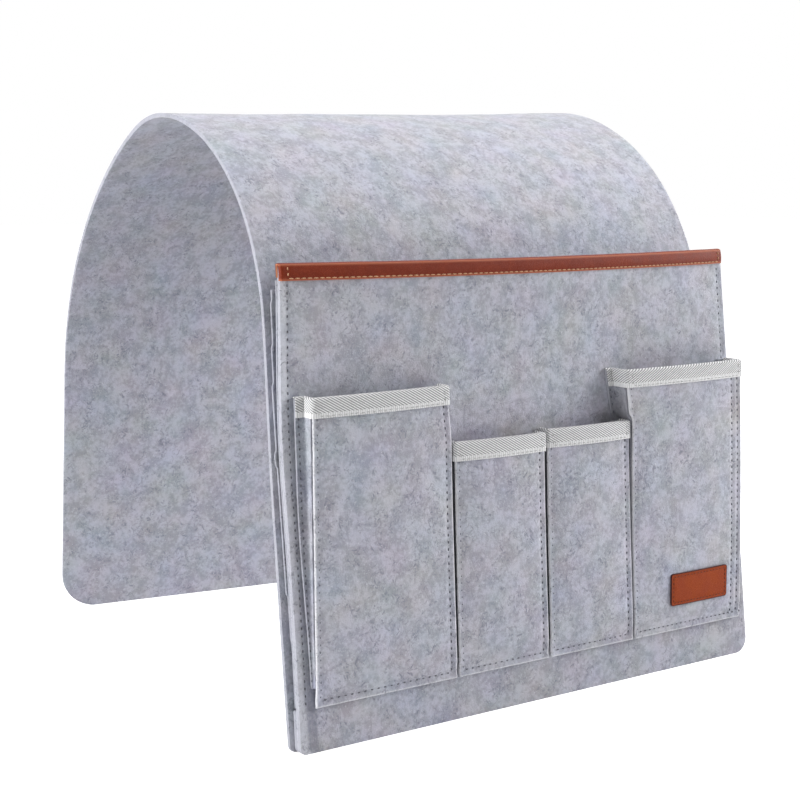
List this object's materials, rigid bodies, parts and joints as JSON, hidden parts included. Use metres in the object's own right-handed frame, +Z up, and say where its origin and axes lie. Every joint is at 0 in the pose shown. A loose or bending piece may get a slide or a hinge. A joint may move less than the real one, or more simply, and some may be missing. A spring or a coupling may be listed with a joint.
{
  "type": "sofa armrest organizer",
  "caption": "Felt strip draped over an armrest, with a bound bellows pocket on its front leg and a row of smaller taped pockets for remotes, a phone and a wallet.",
  "frame": {"origin": "middle of the footprint, on the plane that the feet of both legs stand on", "axes": "+Z up, +X along the armrest's side from the wallet pocket to the phone pocket, -Y out of the pockets' side"},
  "size_m": [0.3242, 0.3352, 0.3388],
  "materials": {
    "grey_felt": "heathered wool-like felt, light bluish grey, raw-cut edges",
    "woven_tape": "off-white herringbone twill tape",
    "brown_leather": "reddish-brown artificial leather, soft sheen, tan thread",
    "tan_leather": "orange-brown artificial leather, bare, dark edge and thread"
  },
  "bodies": {
    "root": {"main_panel": "grey_felt", "main_pocket_front": "grey_felt", "main_pocket_gusset_left": "grey_felt", "main_pocket_gusset_right": "grey_felt", "mouth_binding": "brown_leather", "wallet_pocket_front": "grey_felt", "wallet_pocket_gusset_left": "grey_felt", "wallet_pocket_gusset_right": "grey_felt", "wallet_pocket_binding": "woven_tape", "remote_pocket_front": "grey_felt", "remote_pocket_gusset_left": "grey_felt", "remote_pocket_gusset_right": "grey_felt", "remote_pocket_binding": "woven_tape", "small_remote_pocket_front": "grey_felt", "small_remote_pocket_gusset_left": "grey_felt", "small_remote_pocket_gusset_right": "grey_felt", "small_remote_pocket_binding": "woven_tape", "phone_pocket_front": "grey_felt", "phone_pocket_gusset_left": "grey_felt", "phone_pocket_gusset_right": "grey_felt", "phone_pocket_binding": "woven_tape", "leather_label": "tan_leather"}
  },
  "joints": []
}
